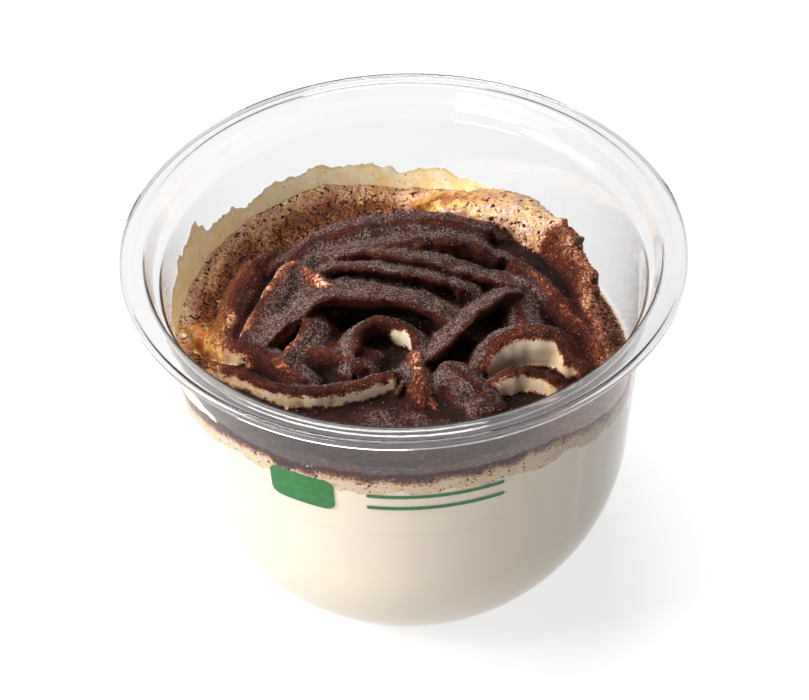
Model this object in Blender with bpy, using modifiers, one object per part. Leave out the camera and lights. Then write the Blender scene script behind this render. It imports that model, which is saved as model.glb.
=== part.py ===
"""Tiramisu in a round clear tub: the tub, the cream that fills it, and the folded, dusted cream on top.

Metres, +Z up. The origin is under the middle of the tub, on the plane that it stands on.
Sizes below are in millimetres, and depths are counted down from the top of the rim.
"""
import math

import bmesh
import bpy
import numpy as np

MM = 0.001
NAME = "tiramisu_tub"
MERGE = 0.00005

# Tub
HEIGHT = 84.0
RIM_RADIUS = 58.5
WALL = 0.5
SEGMENTS = 48
WALL_TOP_RADIUS = 50.6
WALL_TOP_DEPTH = 8.0
WALL_TAPER = math.radians(3.5)
BELLY_CENTRE = (3.1, 47.95)
BELLY_RADIUS = 45.0
HEEL_ANGLE = math.radians(50.0)
FOOT_INNER_RADIUS = 21.0
PUSH_UP_RADIUS = 19.0
PUSH_UP = 1.2

# Cream
GAP = 0.3
FILL_DEPTH = 36.3
SWIRL_FOOT_DEPTH = 36.0
MIDDLE_DEPTH = 20.5
SHOULDER_RADIUS = 32.0
SHOULDER_DEPTH = 22.5
VALLEY_RADIUS = 41.0
VALLEY_DROP = 5.5
RINGS = 44
SECTORS = 96
KEPT_SHARE = 0.4

# How deep the cream meets the wall, by the angle from +X towards +Y in degrees.
WALL_LINE = (
    (-180, 25.0),
    (-157, 22.5),
    (-138, 18.5),
    (-90, 17.0),
    (-55, 17.5),
    (-34, 22.5),
    (-19, 24.0),
    (-5, 33.5),
    (22, 33.5),
    (34, 32.0),
    (42, 28.0),
    (50, 24.2),
    (70, 24.5),
    (90, 25.5),
    (112, 21.0),
    (150, 23.0),
    (180, 25.0),
)

# How much of the valley between the folds and the wall there is, by the same angle.
VALLEY_LINE = ((-180, 0.5), (-150, 0.0), (-20, 0.0), (40, 0.4), (75, 1.0), (165, 1.0), (180, 0.5))

# Each fold: how far it spreads behind and before its crest for a drop of FOLD_DROP, and its crest.
# A crest point is (x, y, depth).
FOLD_DROP = 5.0
SHARPNESS = 1.6
FOLDS = {
    "back_broad": (
        8.0,
        5.0,
        (
            (-24, 18, 19), (-18, 21, 16.5), (-10, 23, 15), (0, 25, 15), (10, 25.5, 16), (16, 25, 18),
        ),
    ),
    "back_second": (
        6.0,
        3.0,
        (
            (-17, 13.5, 16), (-8, 15, 14), (0, 16, 13.5), (8, 17, 14), (14, 17.5, 15.5), (19, 16.5, 18),
        ),
    ),
    "back_slope": (
        5.0,
        6.0,
        (
            (5, 13, 17.5), (12, 12, 17), (20, 10, 18.5),
        ),
    ),
    "long_crest": (
        6.0,
        2.4,
        (
            (-10, 12, 13), (-4, 11, 12.6), (0, 9.5, 12.5), (6, 8, 13), (12, 6, 14.5), (20, 5, 16.5),
            (28, 3.5, 19),
        ),
    ),
    "short_crest": (
        4.5,
        2.4,
        (
            (-14, 7, 13), (-7, 5.5, 12), (0, 4, 12), (9, 2.5, 13.8),
        ),
    ),
    "top_fold": (
        7.0,
        2.4,
        (
            (-21, -6, 14.5), (-18, -4.5, 12.3), (-13, -3.5, 11.6), (-7, -4, 11.6), (0, -5, 12.2),
            (4, -6.5, 13.5),
        ),
    ),
    "under_top": (
        5.0,
        5.0,
        (
            (-19, -9, 19), (-13, -11, 18), (-7, -13, 19),
        ),
    ),
    "curl": (
        3.0,
        2.4,
        (
            (-10.5, -14.5, 15.5), (-9.5, -9.5, 15), (-6, -7, 14.5), (-2, -8, 14.5), (1, -10.5, 15),
            (1.5, -13.5, 16.5),
        ),
    ),
    "curl_tail": (
        4.0,
        3.0,
        (
            (-21, -12, 18), (-14, -15, 17), (-9.5, -17.5, 17.5),
        ),
    ),
    "left_upper": (
        6.0,
        3.6,
        (
            (-43.5, -2, 21), (-37, -8.5, 18.5), (-30, -12.5, 18), (-22, -19, 19),
        ),
    ),
    "front_ribbon": (
        3.5,
        2.4,
        (
            (-42, -12, 21), (-37, -16.5, 18.5), (-32, -20, 18), (-25, -23.5, 17.5), (-18, -24.5, 17.5),
            (-10, -23.5, 17.5), (-3, -21.5, 17),
        ),
    ),
    "drip": (
        3.5,
        3.5,
        (
            (2, -16, 16), (2.5, -21, 17), (2.5, -24.5, 19.5), (1.5, -27, 23),
        ),
    ),
    "drip_small": (
        2.5,
        2.5,
        (
            (4, -24.5, 20.5), (6, -28, 23),
        ),
    ),
    "left_peak": (
        8.0,
        2.4,
        (
            (-23, 12, 14.5), (-26, 8.5, 14.5), (-29.5, 2.5, 15.5), (-33, -4.5, 18),
        ),
    ),
    "left_outer": (
        4.0,
        5.0,
        (
            (-29, 22, 20.5), (-32, 17.5, 19.7), (-35, 7.5, 19.5), (-37, -1, 20.5),
        ),
    ),
    "left_inner": (
        5.0,
        2.4,
        (
            (-19.5, -4.5, 15), (-22, -9, 16), (-24.5, -12, 18),
        ),
    ),
    "left_block": (
        3.6,
        2.6,
        (
            (-21.5, 9.5, 14.2), (-19, 5.5, 13.2), (-15.5, 2.5, 13),
        ),
    ),
    "diagonal": (
        5.0,
        2.4,
        (
            (4, -18.5, 16.5), (10, -13.5, 14.6), (16, -7.5, 13.6), (21, -2.5, 14),
        ),
    ),
    "right_face": (
        6.0,
        6.0,
        (
            (25, 6, 18.5), (24.5, -1.5, 17.5), (25, -7.5, 18),
        ),
    ),
    "shell": (
        4.0,
        3.6,
        (
            (15, -18.5, 17.5), (18, -14.5, 15), (22, -12, 14), (28, -11.5, 14.2), (32, -13, 16),
            (34, -17, 18),
        ),
    ),
    "leaf": (
        3.0,
        2.6,
        (
            (17, -22.5, 18.5), (21, -21.5, 17), (25, -21, 17), (30, -22.5, 18.5),
        ),
    ),
    "lobe": (
        6.0,
        6.0,
        (
            (9.5, -20, 16.8), (13, -23, 17), (15, -25.5, 18.5),
        ),
    ),
    "right_outer": (
        3.6,
        3.6,
        (
            (24, 13, 17), (30, 5.5, 17), (36, -6, 17.5), (40, -14, 19.5),
        ),
    ),
    "back_lip": (
        9.0,
        4.5,
        (
            (10, 40, 22), (20, 36.5, 19.5), (27, 31.5, 18.3), (32, 26.5, 18),
        ),
    ),
    "right_lip": (
        9.0,
        4.5,
        (
            (32, 27, 18.3), (36, 21.5, 18), (38.5, 12, 18.5), (39, 2, 18.5), (40.5, -8.5, 19),
            (42.5, -15, 20),
        ),
    ),
}
STEPS = 8


def material(name, colour, roughness, alpha=1.0):
    """A plain material with one colour."""
    made = bpy.data.materials.new(name)
    made.use_nodes = True
    shader = made.node_tree.nodes["Principled BSDF"]
    shader.inputs["Base Color"].default_value = (*colour, 1.0)
    shader.inputs["Roughness"].default_value = roughness
    shader.inputs["Metallic"].default_value = 0.0
    shader.inputs["Alpha"].default_value = alpha
    return made


def arc(centre, radius, start, end, count):
    """Points (radius, depth) on an arc, by the angle of its normal below the horizontal."""
    angles = np.linspace(start, end, count)
    return [(centre[0] + radius * math.cos(a), centre[1] + radius * math.sin(a)) for a in angles]


def heel():
    """The centre and radius of the arc that runs from the belly into the flat foot."""
    (radius_there, depth_there), = arc(BELLY_CENTRE, BELLY_RADIUS, HEEL_ANGLE, HEEL_ANGLE, 1)
    radius = (HEIGHT - depth_there) / (1.0 - math.sin(HEEL_ANGLE))
    return (radius_there - radius * math.cos(HEEL_ANGLE), HEIGHT - radius), radius


def body_profile(inset, top_depth):
    """The tub's side and base from top_depth down to the middle, moved in from the outer face by inset."""
    heel_centre, heel_radius = heel()
    radius_at_top = wall_radius(top_depth) - inset / math.cos(WALL_TAPER)
    points = [(radius_at_top, top_depth)]
    points += arc(BELLY_CENTRE, BELLY_RADIUS - inset, WALL_TAPER, HEEL_ANGLE, 8)
    points += arc(heel_centre, heel_radius - inset, HEEL_ANGLE, math.radians(90.0), 4)[1:]
    points.append((FOOT_INNER_RADIUS, HEIGHT - inset))
    points.append((PUSH_UP_RADIUS, HEIGHT - PUSH_UP - inset))
    points.append((0.0, HEIGHT - PUSH_UP - inset))
    return points


def wall_radius(depth):
    """The outer radius of the straight wall at a depth."""
    return WALL_TOP_RADIUS - (depth - WALL_TOP_DEPTH) * math.tan(WALL_TAPER)


def rim_profile():
    """The middle of the rim's sheet: skirt, edge, flange, bead, collar and step."""
    half = WALL / 2
    return [
        (RIM_RADIUS - half, 1.7),
        (RIM_RADIUS - half, 0.6),
        (57.95, 0.32),
        (57.6, half),
        (57.0, 0.7),
        (55.8, 0.7),
        (55.1, 0.32),
        (54.4, half),
        (53.8, 0.35),
        (53.3, 0.9),
        (52.0, 5.3),
        (50.8, 6.6),
    ]


def turned(name, profile, made_of, parent):
    """An object turned about the axis from a profile of (radius, depth) points."""
    mesh = bpy.data.meshes.new(name)
    points = [(r * MM, 0.0, (HEIGHT - depth) * MM) for r, depth in profile]
    edges = [(i, i + 1) for i in range(len(points) - 1)]
    mesh.from_pydata(points, edges, [])
    mesh.materials.append(made_of)
    thing = bpy.data.objects.new(name, mesh)
    parent.objects.link(thing)
    screw = thing.modifiers.new("Turn", "SCREW")
    screw.steps = SEGMENTS
    screw.render_steps = SEGMENTS
    screw.use_merge_vertices = True
    screw.merge_threshold = MERGE
    screw.use_smooth_shade = True
    return thing


def make_tub(parent):
    """The thin clear tub: one sheet of even thickness, turned and given its wall."""
    clear = material("clear_plastic", (0.92, 0.93, 0.94), 0.08, 0.35)
    profile = rim_profile() + body_profile(WALL / 2, WALL_TOP_DEPTH)
    tub = turned("tub", profile, clear, parent)
    shell = tub.modifiers.new("Wall", "SOLIDIFY")
    shell.thickness = WALL * MM
    shell.offset = 0.0
    shell.use_even_offset = True
    return tub


def make_fill(parent):
    """The smooth cream under the folds, as wide as the tub's inside less a gap."""
    cream = material("cream", (0.86, 0.78, 0.62), 0.5)
    profile = [(0.0, FILL_DEPTH)] + body_profile(WALL + GAP, FILL_DEPTH)
    return turned("cream_fill", profile, cream, parent)


def smooth_path(points):
    """A Catmull-Rom curve through crest points, as an array of (x, y, depth) rows."""
    ends = np.array([points[0], *points, points[-1]], float)
    rows = []
    for a, b, c, d in zip(ends, ends[1:], ends[2:], ends[3:]):
        for t in np.linspace(0.0, 1.0, STEPS, endpoint=False):
            square = 2 * a - 5 * b + 4 * c - d
            cube = 3 * b - a - 3 * c + d
            rows.append(0.5 * (2 * b + (c - a) * t + square * t**2 + cube * t**3))
    rows.append(ends[-1])
    return np.array(rows)


def from_crest(path, x, y):
    """For each place: its distance from a crest, the crest's depth there, and whether it lies in front."""
    nearest = np.full(x.shape, np.inf)
    depth = np.zeros(x.shape)
    in_front = np.zeros(x.shape, bool)
    for start, end in zip(path, path[1:]):
        run = end[:2] - start[:2]
        share = ((x - start[0]) * run[0] + (y - start[1]) * run[1]) / (run @ run)
        share = np.clip(share, 0.0, 1.0)
        off_x = x - start[0] - share * run[0]
        off_y = y - start[1] - share * run[1]
        distance = np.hypot(off_x, off_y)
        closer = distance < nearest
        nearest = np.where(closer, distance, nearest)
        depth = np.where(closer, start[2] + share * (end[2] - start[2]), depth)
        in_front = np.where(closer, run[0] * off_y - run[1] * off_x < 0.0, in_front)
    return nearest, depth, in_front


def along(line, angle):
    """A value from a list of (angle in degrees, value)."""
    return np.interp(np.degrees(angle), *zip(*line))


def eased(low, high, value):
    """0 below low, 1 above high, and a soft step between them."""
    share = np.clip((value - low) / (high - low), 0.0, 1.0)
    return share * share * (3.0 - 2.0 * share)


def bed_depth(x, y):
    """The surface under the folds: a low dome, a valley round the back, and a slope up to the wall."""
    radius = np.hypot(x, y)
    angle = np.arctan2(y, x)
    dome = MIDDLE_DEPTH + (SHOULDER_DEPTH - MIDDLE_DEPTH) * eased(0.0, SHOULDER_RADIUS, radius)
    valley = SHOULDER_DEPTH + VALLEY_DROP * along(VALLEY_LINE, angle)
    depth = dome + (valley - dome) * eased(SHOULDER_RADIUS, VALLEY_RADIUS, radius)
    edge_radius = wall_radius(along(WALL_LINE, angle)) - WALL - GAP
    to_wall = eased(VALLEY_RADIUS, edge_radius, radius)
    return depth + (along(WALL_LINE, angle) - depth) * to_wall


def surface_depth(x, y):
    """The depth of the folded surface at each place: the highest of the bed and the folds."""
    depth = bed_depth(x, y)
    angle = np.arctan2(y, x)
    inside = 1.0 - eased(44.0, 48.0, np.hypot(x, y))
    for back, front, crest in FOLDS.values():
        distance, crest_depth, in_front = from_crest(smooth_path(crest), x, y)
        spread = np.where(in_front, front, back)
        fold = crest_depth + FOLD_DROP * (distance / spread) ** SHARPNESS
        depth = np.where(fold < depth, depth + (fold - depth) * inside, depth)
    return np.minimum(depth, np.maximum(along(WALL_LINE, angle), SWIRL_FOOT_DEPTH - 2.5))


def ring_points(bm, x, y, depth):
    """One ring of vertices."""
    return [bm.verts.new((a * MM, b * MM, (HEIGHT - c) * MM)) for a, b, c in zip(x, y, depth)]


def make_swirl(parent):
    """The folded cream: rings of points on its surface, closed by a side and a flat foot."""
    dusted = material("dusted_cream", (0.16, 0.08, 0.05), 0.85)
    angles = np.linspace(-math.pi, math.pi, SECTORS, endpoint=False)
    foot_radius = (wall_radius(SWIRL_FOOT_DEPTH) - WALL - GAP) * math.cos(math.pi / SEGMENTS)
    edge_depth = along(WALL_LINE, angles)
    edge_radius = (wall_radius(edge_depth) - WALL - GAP) * math.cos(math.pi / SEGMENTS)
    bm = bmesh.new()
    middle = bm.verts.new((0.0, 0.0, (HEIGHT - float(surface_depth(np.zeros(1), np.zeros(1))[0])) * MM))
    rings = []
    for share in np.linspace(0.0, 1.0, RINGS + 1)[1:]:
        x = edge_radius * share * np.cos(angles)
        y = edge_radius * share * np.sin(angles)
        depth = edge_depth if share == 1.0 else surface_depth(x, y)
        rings.append(ring_points(bm, x, y, depth))
    foot_x = foot_radius * np.cos(angles)
    foot_y = foot_radius * np.sin(angles)
    rings.append(ring_points(bm, foot_x, foot_y, np.full(SECTORS, SWIRL_FOOT_DEPTH)))
    for i in range(SECTORS):
        j = (i + 1) % SECTORS
        bm.faces.new((middle, rings[0][i], rings[0][j]))
        for inner, outer in zip(rings, rings[1:]):
            bm.faces.new((inner[i], outer[i], outer[j], inner[j]))
    bm.faces.new(reversed(rings[-1]))
    bmesh.ops.triangulate(bm, faces=bm.faces)
    mesh = bpy.data.meshes.new("cream_swirl")
    bm.to_mesh(mesh)
    bm.free()
    mesh.materials.append(dusted)
    swirl = bpy.data.objects.new("cream_swirl", mesh)
    parent.objects.link(swirl)
    thin = swirl.modifiers.new("Fewer faces", "DECIMATE")
    thin.ratio = KEPT_SHARE
    thin.use_collapse_triangulate = True
    return swirl


def main():
    for old in list(bpy.data.objects):
        bpy.data.objects.remove(old, do_unlink=True)
    parts = bpy.data.collections.new(NAME)
    bpy.context.scene.collection.children.link(parts)
    make_tub(parts)
    make_fill(parts)
    make_swirl(parts)


main()
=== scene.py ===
"""Looks of a tiramisu in a clear tub: thin plastic, the cream behind it, and the cocoa-dusted folds."""

import math

import bmesh
import bpy
import numpy as np
from mathutils import Matrix, Vector


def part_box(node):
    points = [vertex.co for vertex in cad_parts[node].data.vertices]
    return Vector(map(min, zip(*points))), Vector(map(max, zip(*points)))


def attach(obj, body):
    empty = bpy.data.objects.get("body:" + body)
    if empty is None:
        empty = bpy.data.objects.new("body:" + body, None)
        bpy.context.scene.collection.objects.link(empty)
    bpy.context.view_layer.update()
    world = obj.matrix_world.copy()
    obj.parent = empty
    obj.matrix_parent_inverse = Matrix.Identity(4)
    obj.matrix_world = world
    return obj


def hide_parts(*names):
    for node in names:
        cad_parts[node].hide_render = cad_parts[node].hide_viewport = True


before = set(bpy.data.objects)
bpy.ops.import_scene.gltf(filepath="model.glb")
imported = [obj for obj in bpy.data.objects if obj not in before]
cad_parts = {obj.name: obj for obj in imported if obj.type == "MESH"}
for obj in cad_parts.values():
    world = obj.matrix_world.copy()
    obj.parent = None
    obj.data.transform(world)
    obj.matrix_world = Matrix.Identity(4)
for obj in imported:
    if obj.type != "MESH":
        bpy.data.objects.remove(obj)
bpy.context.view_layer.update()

MM = 0.001
RIM_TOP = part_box("tub")[1].z / MM
RIM_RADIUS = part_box("tub")[1].x / MM

# The tub, in millimetres. Depths are counted down from the top of the rim.
WALL = 0.5
WALL_TOP_RADIUS = 50.6
WALL_TOP_DEPTH = 8.0
WALL_TAPER = math.radians(3.5)
BELLY_CENTRE = (3.1, 47.95)
BELLY_RADIUS = 45.0
HEEL_ANGLE = math.radians(50.0)
FOOT_INNER_RADIUS = 21.0
PUSH_UP_RADIUS = 19.0
PUSH_UP = 1.2
TUB_STEPS = 192

# The cream. It reaches this far into the wall, so that no air shows between them.
INTO_WALL = 0.2
FILL_TOP_DEPTH = 36.0
SWIRL_FOOT_DEPTH = 37.0
SWIRL_TOP_DEPTH = 9.5
CELL = 0.45
MIDDLE_DEPTH = 20.5
SHOULDER_RADIUS = 32.0
SHOULDER_DEPTH = 22.5
VALLEY_RADIUS = 41.0
VALLEY_DROP = 5.5

# By the angle from +X towards +Y in degrees: how deep the cream meets the wall, how much of a valley there
# is between the folds and the wall, how far out the cream reaches where it stands free of the wall, and how
# high the thin smear climbs above the cream.
WALL_LINE = (
    (-180, 25.0),
    (-157, 22.5),
    (-138, 18.5),
    (-90, 17.0),
    (-55, 17.5),
    (-34, 22.5),
    (-19, 24.0),
    (-5, 36.5),
    (22, 36.8),
    (34, 35.0),
    (42, 28.0),
    (50, 24.2),
    (70, 24.5),
    (90, 25.5),
    (112, 21.0),
    (150, 23.0),
    (180, 25.0),
)
VALLEY_LINE = ((-180, 0.5), (-150, 0.0), (-20, 0.0), (40, 0.4), (75, 1.0), (165, 1.0), (180, 0.5))
FREE_EDGE = (
    (-28, 60.0),
    (-18, 44.8),
    (-9, 42.4),
    (2, 40.9),
    (18, 42.0),
    (28, 43.6),
    (38, 45.0),
    (46, 46.5),
    (52, 47.5),
    (58, 60.0),
)
FREE_EDGE_DEPTH = 36.5
SMEAR_LINE = (
    (-180, 7.0),
    (-155, 3.0),
    (-135, 1.5),
    (-30, 1.0),
    (45, 0.5),
    (70, 2.0),
    (85, 4.5),
    (112, 3.5),
    (135, 4.0),
    (150, 8.0),
    (165, 7.5),
    (180, 7.0),
)

FOLD_DROP = 5.0
SHARPNESS = 1.6
FOLDS = {}


def fold(name, crest, back=4.0, front=4.0, lean=0.0, cocoa=1.0, bare=0.0, bare_from=0.0, bare_to=1.2):
    """One fold of cream. crest is a list of (x, y, depth) points, and its front is on the right of it.

    back and front are how far it spreads for a drop of FOLD_DROP. lean is how far it hangs over its front.
    cocoa is how well it is covered, and bare how clean its front face is between two shares of its length.
    """
    FOLDS[name] = (back, front, lean, cocoa, bare, bare_from, bare_to, crest)


fold(
    "back_broad",
    (
        (-24, 18, 19), (-18, 21, 16.5), (-10, 23, 15), (0, 25, 15), (10, 25.5, 16), (16, 25, 18),
    ),
    8.0, 5.0,
)
fold(
    "back_second",
    (
        (-17, 13.5, 16), (-8, 15, 14), (0, 16, 13.5), (8, 17, 14), (14, 17.5, 15.5), (19, 16.5, 18),
    ),
    6.0, 3.0, 0.4,
)
fold("back_slope", ((5, 13, 17.5), (12, 12, 17), (20, 10, 18.5)), 5.0, 6.0)
fold(
    "long_crest",
    (
        (-10, 12, 13), (-4, 11, 12.6), (0, 9.5, 12.5), (6, 8, 13), (12, 6, 14.5), (20, 5, 16.5),
        (28, 3.5, 19),
    ),
    6.0, 1.5, 0.7,
)
fold("short_crest", ((-14, 7, 13), (-7, 5.5, 12), (0, 4, 12), (9, 2.5, 13.8)), 4.5, 1.5, 0.9)
fold(
    "top_fold",
    (
        (-21, -6, 14.5), (-18, -4.5, 12.3), (-13, -3.5, 11.6), (-7, -4, 11.6), (0, -5, 12.2),
        (4, -6.5, 13.5),
    ),
    7.0, 1.5, 0.9,
)
fold("under_top", ((-19, -9, 19), (-13, -11, 18), (-7, -13, 19)), 5.0, 5.0)
fold(
    "curl",
    (
        (-10.5, -14.5, 15.5), (-9.5, -9.5, 15), (-6, -7, 14.5), (-2, -8, 14.5), (1, -10.5, 15),
        (1.5, -13.5, 16.5),
    ),
    3.0, 2.4, 0.4, 1.0, 1.0, 0.62,
)
fold("curl_tail", ((-21, -12, 18), (-14, -15, 17), (-9.5, -17.5, 17.5)), 4.0, 3.0, 0.3)
fold(
    "left_upper",
    (
        (-43.5, -2, 21), (-37, -8.5, 18.5), (-30, -12.5, 18), (-22, -19, 19),
    ),
    6.0, 3.6, 0.2, 0.8, 1.0, 0.0, 0.5,
)
fold(
    "front_ribbon",
    (
        (-42, -12, 21), (-37, -16.5, 18.5), (-32, -20, 18), (-25, -23.5, 17.5), (-18, -24.5, 17.5),
        (-10, -23.5, 17.5), (-3, -21.5, 17),
    ),
    3.5, 2.2, 0.3, 1.0, 1.0,
)
fold("drip", ((2, -16, 16), (2.5, -21, 17), (2.5, -24.5, 19.5), (1.5, -27, 23)), 3.5, 3.5, 0.0, 0.62)
fold("drip_small", ((4, -24.5, 20.5), (6, -28, 23)), 2.5, 2.5, 0.0, 0.6)
fold(
    "left_peak",
    (
        (-23, 12, 14.5), (-26, 8.5, 14.5), (-29.5, 2.5, 15.5), (-33, -4.5, 18),
    ),
    8.0, 2.4, 0.0, 0.75, 0.6,
)
fold(
    "left_outer",
    (
        (-29, 22, 20.5), (-32, 17.5, 19.7), (-35, 7.5, 19.5), (-37, -1, 20.5),
    ),
    4.0, 5.0, 0.0, 0.85,
)
fold("left_inner", ((-19.5, -4.5, 15), (-22, -9, 16), (-24.5, -12, 18)), 5.0, 2.2, 0.3, 0.8, 0.5)
fold("left_block", ((-21.5, 9.5, 14.2), (-19, 5.5, 13.2), (-15.5, 2.5, 13)), 3.6, 2.6, 0.0, 0.64)
fold("diagonal", ((4, -18.5, 16.5), (10, -13.5, 14.6), (16, -7.5, 13.6), (21, -2.5, 14)), 5.0, 1.4, 0.7)
fold("right_face", ((25, 6, 18.5), (24.5, -1.5, 17.5), (25, -7.5, 18)), 6.0, 6.0, 0.0, 0.9)
fold(
    "shell",
    (
        (15, -18.5, 17.5), (18, -14.5, 15), (22, -12, 14), (28, -11.5, 14.2), (32, -13, 16),
        (34, -17, 18),
    ),
    4.0, 3.6, 0.3, 1.0, 1.0,
)
fold(
    "leaf",
    (
        (17, -22.5, 18.5), (21, -21.5, 17), (25, -21, 17), (30, -22.5, 18.5),
    ),
    3.0, 2.6, 0.2, 1.0, 1.0,
)
fold("lobe", ((9.5, -20, 16.8), (13, -23, 17), (15, -25.5, 18.5)), 6.0, 6.0)
fold("right_outer", ((24, 13, 17), (30, 5.5, 17), (36, -6, 17.5), (40, -14, 19.5)), 3.6, 3.6, 0.0, 0.85)
fold(
    "back_lip",
    (
        (10, 40, 22), (20, 36.5, 19.5), (27, 31.5, 18.3), (32, 26.5, 18),
    ),
    9.0, 4.5, 0.0, 0.36,
)
fold(
    "right_lip",
    (
        (32, 27, 18.3), (36, 21.5, 18), (38.5, 12, 18.5), (39, 2, 18.5), (40.5, -8.5, 19),
        (42.5, -15, 20),
    ),
    9.0, 4.5, 0.0, 0.8,
)
STEPS = 8
BLEND = 0.6

SEED = 7

# The print on the front of the wall, in millimetres, with angles from the front in degrees.
INK_BACK = 0.01
INK_FRONT = 0.03
INK_ROWS = 17
INK_COLUMNS = 40
FIELD_MIDDLE = -26.0
FIELD_DEPTH = 25.6
FIELD_WIDTH = 14.0
FIELD_HEIGHT = 8.5
FIELD_CORNER = 2.0
LINE_MIDDLE = 6.0
LINE_WIDTH = 28.0
LINE_HEIGHT = 0.9
LINE_DEPTHS = (23.9, 27.3)


# ---------------------------------------------------------------- small tools


def eased(low, high, value):
    """0 below low, 1 above high, and a soft step between them."""
    share = np.clip((value - low) / (high - low), 0.0, 1.0)
    return share * share * (3.0 - 2.0 * share)


def along(line, angle):
    """A value from a list of (angle in degrees, value)."""
    return np.interp(np.degrees(angle), *zip(*line))


def lattice(ix, iy, iz, seed):
    """A steady random number from -1 to 1 for each whole place."""
    mixed = ix * 374761393 + iy * 668265263 + iz * 2147483647 + seed * 144665
    mixed = (mixed ^ (mixed >> 13)) * 1274126177
    mixed = (mixed ^ (mixed >> 16)) & 0xFFFF
    return mixed / 32767.5 - 1.0


def bumps(places, size, seed=SEED, octaves=3):
    """Smooth random bumps of a size at (x, y, z) places, with finer ones on them. About -1 to 1."""
    total = np.zeros(len(places))
    weight = 1.0
    for octave in range(octaves):
        scaled = places / size * 2.0**octave + 1000.0
        whole = np.floor(scaled).astype(np.int64)
        part = scaled - whole
        part = part * part * (3.0 - 2.0 * part)
        for corner in np.ndindex(2, 2, 2):
            share = np.prod(np.where(corner, part, 1.0 - part), axis=1)
            ix, iy, iz = (whole + corner).T
            total += weight * share * lattice(ix, iy, iz, seed + octave)
        weight *= 0.5
    return total


def object_from(name, vertices, faces, made_of, smooth=True):
    """A mesh object from points in millimetres above the foot."""
    mesh = bpy.data.meshes.new(name)
    mesh.from_pydata((np.asarray(vertices, float) * MM).tolist(), [], faces)
    mesh.materials.append(made_of)
    if smooth:
        mesh.shade_smooth()
    mesh.update()
    thing = bpy.data.objects.new(name, mesh)
    bpy.context.scene.collection.objects.link(thing)
    return thing


def baked(thing):
    """The same object as a plain mesh, with its modifiers applied and removed."""
    graph = bpy.context.evaluated_depsgraph_get()
    mesh = bpy.data.meshes.new_from_object(thing.evaluated_get(graph))
    thing.modifiers.clear()
    thing.data = mesh
    return thing


# ---------------------------------------------------------------- materials


class Looks:
    """A material and a few short ways to add nodes to it."""

    def __init__(self, name):
        self.material = bpy.data.materials.new(name)
        self.material.use_nodes = True
        self.tree = self.material.node_tree
        self.shader = self.tree.nodes["Principled BSDF"]
        self.output = self.tree.nodes["Material Output"]
        self.place = self.tree.nodes.new("ShaderNodeTexCoord").outputs["Object"]

    def link(self, source, target):
        self.tree.links.new(source, target)

    def put(self, target, value):
        """Sets a socket from a number, a colour or another socket."""
        if isinstance(value, bpy.types.NodeSocket):
            self.link(value, target)
        elif isinstance(value, tuple) and len(value) == 3 and target.type == "RGBA":
            target.default_value = (*value, 1.0)
        else:
            target.default_value = value

    def set(self, **values):
        """Sets the shader's sockets, named with _ for each space."""
        for key, value in values.items():
            self.put(self.shader.inputs[key.replace("_", " ")], value)

    def noise(self, size, detail=3.0, roughness=0.55, stretch=None):
        """Noise with features of a size in millimetres."""
        node = self.tree.nodes.new("ShaderNodeTexNoise")
        node.inputs["Scale"].default_value = 1.0 / (size * MM)
        node.inputs["Detail"].default_value = detail
        node.inputs["Roughness"].default_value = roughness
        place = self.place
        if stretch:
            mapping = self.tree.nodes.new("ShaderNodeMapping")
            mapping.inputs["Scale"].default_value = stretch
            self.link(place, mapping.inputs["Vector"])
            place = mapping.outputs["Vector"]
        self.link(place, node.inputs["Vector"])
        return node.outputs["Fac"]

    def math(self, operation, a, b=0.0, c=0.0):
        node = self.tree.nodes.new("ShaderNodeMath")
        node.operation = operation
        for socket, value in zip(node.inputs, (a, b, c)):
            self.put(socket, value)
        return node.outputs[0]

    def step(self, value, low, high):
        """0 below low and 1 above high, with a soft step."""
        node = self.tree.nodes.new("ShaderNodeMapRange")
        node.interpolation_type = "SMOOTHSTEP"
        self.put(node.inputs["Value"], value)
        node.inputs["From Min"].default_value = low
        node.inputs["From Max"].default_value = high
        return node.outputs["Result"]

    def mix(self, share, a, b):
        """A colour between a and b."""
        node = self.tree.nodes.new("ShaderNodeMix")
        node.data_type = "RGBA"
        self.put(node.inputs["Factor"], share)
        self.put(node.inputs[6], a)
        self.put(node.inputs[7], b)
        return node.outputs[2]

    def blend(self, share, a, b):
        """A number between a and b."""
        node = self.tree.nodes.new("ShaderNodeMix")
        self.put(node.inputs["Factor"], share)
        self.put(node.inputs[2], a)
        self.put(node.inputs[3], b)
        return node.outputs[0]

    def channels(self, name):
        """The four numbers of a colour attribute."""
        node = self.tree.nodes.new("ShaderNodeVertexColor")
        node.layer_name = name
        split = self.tree.nodes.new("ShaderNodeSeparateColor")
        self.link(node.outputs["Color"], split.inputs[0])
        return (*split.outputs, node.outputs["Alpha"])

    def bump(self, height, strength, distance):
        """Relief of a height in millimetres."""
        node = self.tree.nodes.new("ShaderNodeBump")
        node.inputs["Strength"].default_value = strength
        node.inputs["Distance"].default_value = distance * MM
        self.link(height, node.inputs["Height"])
        self.link(node.outputs["Normal"], self.shader.inputs["Normal"])


CREAM = (0.92, 0.785, 0.61)
CREAM_YELLOW = (0.82, 0.60, 0.29)
OCHRE = (0.36, 0.10, 0.008)
GOLDEN = (0.72, 0.43, 0.10)
STAIN = (0.42, 0.10, 0.024)
DARK_STAIN = (0.20, 0.05, 0.008)
# Near-black moist cocoa, which also serves as painted shade in the hollows.
DARK_MOIST_COCOA_AND_SHADE = (0.012, 0.002, 0.001)
MOIST_COCOA_LIGHT = (0.10, 0.016, 0.005)
DRY_COCOA = (0.33, 0.215, 0.195)
BROWN_DUST = (0.19, 0.085, 0.06)
DRY_COCOA_DARK = (0.018, 0.008, 0.006)


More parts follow.
